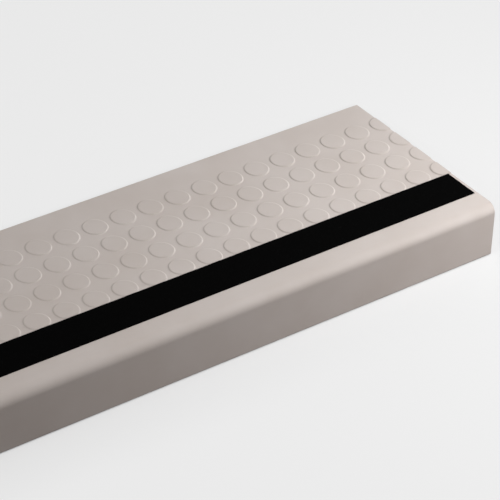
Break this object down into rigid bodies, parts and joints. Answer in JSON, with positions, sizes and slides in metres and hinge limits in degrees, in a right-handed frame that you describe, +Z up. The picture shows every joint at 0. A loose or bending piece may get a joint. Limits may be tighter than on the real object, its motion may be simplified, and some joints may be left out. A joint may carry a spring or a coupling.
{
  "type": "rubber stair tread",
  "caption": "Rubber stair tread with low round studs, a rounded nose over the step edge and a black grip strip let in near the nose.",
  "frame": {"origin": "middle of the footprint on the floor that the loose tread rests on", "axes": "+X along the length, across the stair; +Y towards the back edge, with the nose at -Y; +Z up from the floor"},
  "size_m": [0.9144, 0.2574, 0.06],
  "materials": {
    "moulded_rubber": "satin",
    "grip_rubber": "matt, fine grit"
  },
  "bodies": {
    "root": {"tread": "moulded_rubber", "grip_strip": "grip_rubber"}
  },
  "joints": []
}
